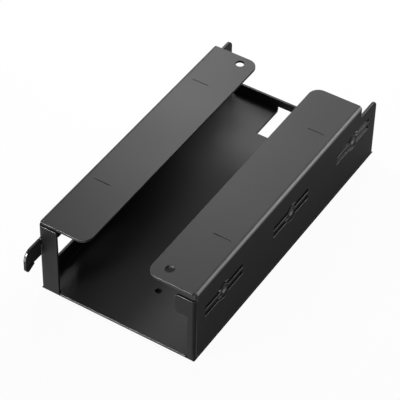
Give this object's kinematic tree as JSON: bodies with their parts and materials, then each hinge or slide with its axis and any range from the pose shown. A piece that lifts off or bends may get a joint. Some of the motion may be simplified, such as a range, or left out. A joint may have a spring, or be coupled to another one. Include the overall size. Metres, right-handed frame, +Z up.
{
  "type": "power adapter bracket",
  "caption": "Folded sheet-metal tray bracket with inward top flanges, front stop tabs, a front hook, wall springs and a back lip, to hold a power adapter under a surface.",
  "frame": {"origin": "centre of the base's underside, half way between the front edge and the back lip, and between the side walls", "axes": "+X across the tray towards the wall with the springs, +Y from the open front to the back lip, +Z up towards the flanges"},
  "size_m": [0.0666, 0.1414, 0.034],
  "materials": {
    "powder_coat": "satin black powder coat on thin steel sheet"
  },
  "bodies": {
    "root": {"folded_bracket": "powder_coat"}
  },
  "joints": []
}
